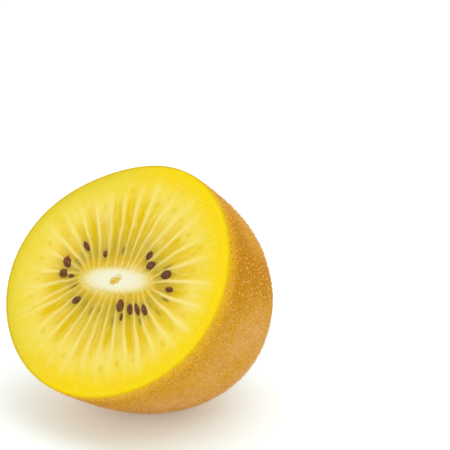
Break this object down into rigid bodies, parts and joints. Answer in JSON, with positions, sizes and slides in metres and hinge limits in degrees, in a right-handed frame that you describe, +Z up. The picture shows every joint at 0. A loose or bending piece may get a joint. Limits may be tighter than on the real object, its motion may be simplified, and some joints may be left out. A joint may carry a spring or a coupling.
{
  "type": "golden kiwi fruit half",
  "caption": "Half of a golden kiwi fruit cut across its middle: thin brown-gold skin, yellow flesh with spoke-like chamber walls and seeds, pale core, and a stem button at the closed end.",
  "frame": {"origin": "middle of the small flat spot the half rests on, at table level", "axes": "+Z up; the cut face looks towards -Y and 37.5 degrees up; +X to the right when looking at the cut face"},
  "size_m": [0.0549, 0.0521, 0.0525],
  "materials": {
    "skin": "thin dry golden-brown fruit skin, satin, with fine raised speckles",
    "flesh": "moist golden-yellow fruit flesh, slightly translucent, with small dark brown seeds set in its face",
    "core": "firm cream-white fruit core, moist satin",
    "stem_button": "dry corky scar, orange-tan pads round a dark hollow, matt"
  },
  "bodies": {
    "root": {"skin": "skin", "flesh": "flesh", "core": "core", "stem_button": "stem_button"}
  },
  "joints": []
}
